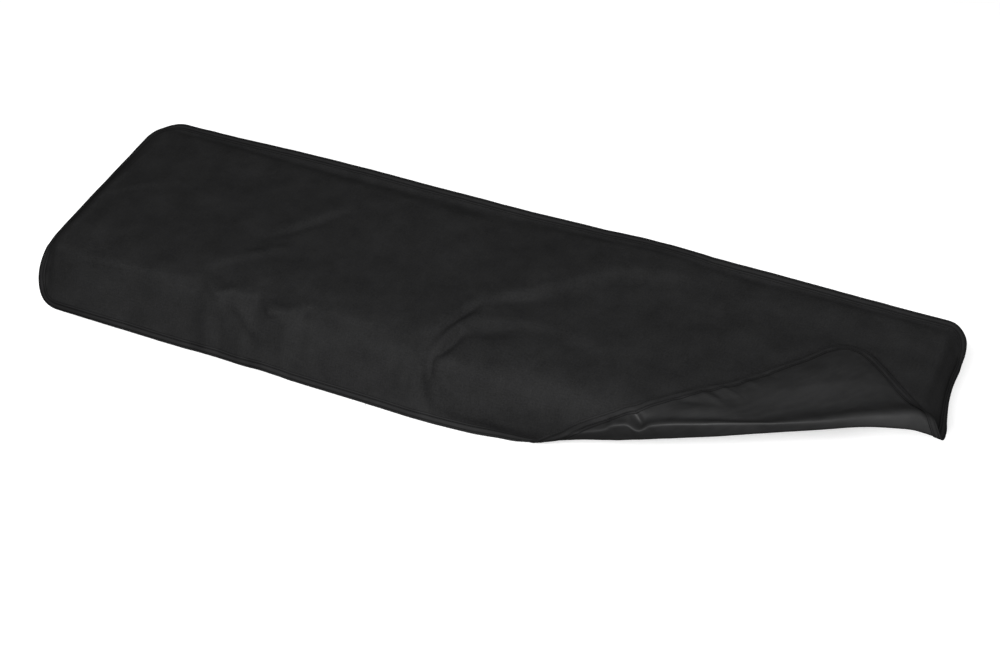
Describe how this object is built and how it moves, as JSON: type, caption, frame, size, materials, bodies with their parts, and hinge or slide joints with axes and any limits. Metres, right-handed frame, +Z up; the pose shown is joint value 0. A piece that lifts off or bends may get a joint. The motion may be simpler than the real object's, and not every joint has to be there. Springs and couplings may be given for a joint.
{
  "type": "keyboard dust cover",
  "caption": "Dust cover for a slab keyboard: a bound sheet of thin coated cloth lying as draped, creased down its front drop, with a front corner folded back over the top.",
  "frame": {"origin": "under the middle of the cover's top, where it rests on what it covers", "axes": "+X along the cover's length, +Y to the rear, +Z up"},
  "size_m": [1.3697, 0.3918, 0.1424],
  "materials": {
    "coated_cloth": "matt black plain weave, its inner face coated and a little shinier",
    "binding_tape": "black woven tape, folded over the edge and stitched in rows"
  },
  "bodies": {
    "root": {"cover_sheet": "coated_cloth", "edge_binding": "binding_tape"}
  },
  "joints": []
}
